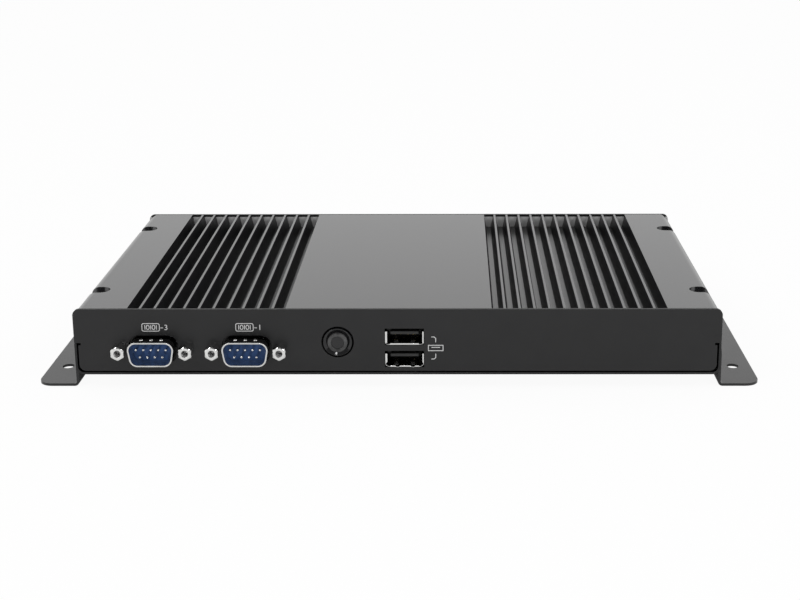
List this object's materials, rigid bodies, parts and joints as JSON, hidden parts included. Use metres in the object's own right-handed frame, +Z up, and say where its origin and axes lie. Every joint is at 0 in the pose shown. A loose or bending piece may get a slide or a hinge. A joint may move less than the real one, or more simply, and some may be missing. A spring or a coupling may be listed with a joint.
{
  "type": "fanless industrial pc",
  "caption": "Flat fanless industrial computer: finned heatsink cover, front sockets and power button, side brackets with mounting holes.",
  "frame": {"origin": "centre of the rectangle of the four mounting holes, at the undersides of the bracket feet", "axes": "+X to the right seen from the front, along the case width; +Y from the front panel to the rear panel; +Z up"},
  "size_m": [0.273, 0.1423, 0.0316],
  "materials": {
    "black_anodised": "black anodised, satin",
    "black_paint": "black powder coat, fine texture",
    "dark_screw": "black zinc",
    "bright_steel": "bright zinc",
    "nickel": "bright nickel plate",
    "blue_plastic": "blue moulding",
    "gold_contact": "flash gold",
    "black_plastic": "glossy black",
    "dark_plastic": "black moulding",
    "clear_ring": "smoked light ring",
    "circuit_board": "green solder mask",
    "chip": "moulded package",
    "pad": "soft thermal pad",
    "plain_aluminium": "milled",
    "white_plastic": "white film"
  },
  "bodies": {
    "case": {"audio_jack": "dark_plastic", "board_screws": "bright_steel", "board_standoffs": "bright_steel", "bottom_tray": "black_paint", "bracket_left": "black_paint", "bracket_nuts": "bright_steel", "bracket_right": "black_paint", "bracket_screws": "dark_screw", "button_holder": "dark_plastic", "button_switch": "dark_plastic", "cell_holder": "dark_plastic", "coin_cell": "bright_steel", "cover_posts": "bright_steel", "cover_screws": "dark_screw", "dc_jack": "dark_plastic", "dc_jack_pin": "gold_contact", "front_board": "circuit_board", "front_lead": "white_plastic", "front_panel": "black_paint", "front_usb_shell_lower": "nickel", "front_usb_shell_upper": "nickel", "front_usb_tongue_lower": "dark_plastic", "front_usb_tongue_upper": "dark_plastic", "hdmi_shell": "nickel", "hdmi_tongue": "dark_plastic", "heat_block": "plain_aluminium", "heat_block_screws": "bright_steel", "heatsink_cover": "black_anodised", "lan_socket_left": "nickel", "lan_socket_right": "nickel", "lead_socket_front": "dark_plastic", "lead_socket_main": "dark_plastic", "main_board": "circuit_board", "memory_module": "circuit_board", "memory_socket": "dark_plastic", "panel_screws": "dark_screw", "power_chokes": "chip", "processor": "chip", "rear_panel": "black_paint", "rear_usb_shell_left": "nickel", "rear_usb_shell_right": "nickel", "rear_usb_tongue_left": "dark_plastic", "rear_usb_tongue_right": "dark_plastic", "serial_insulator_left": "blue_plastic", "serial_insulator_right": "blue_plastic", "serial_jack_screws": "nickel", "serial_pins_left": "nickel", "serial_pins_right": "nickel", "serial_shell_left": "nickel", "serial_shell_right": "nickel", "storage_module": "circuit_board", "storage_post": "bright_steel", "storage_screw": "bright_steel", "storage_socket": "dark_plastic", "thermal_pad": "pad"},
    "power_button": {"button_cap": "black_plastic", "button_light_ring": "clear_ring", "button_plunger": "dark_plastic"}
  },
  "joints": [
    {"name": "power_press", "type": "slide", "parent": "case", "child": "power_button", "axis": [0, 1, 0], "range_m": [0, 0.0008], "stiffness_N_per_m": 800, "springref_m": -0.0008}
  ]
}
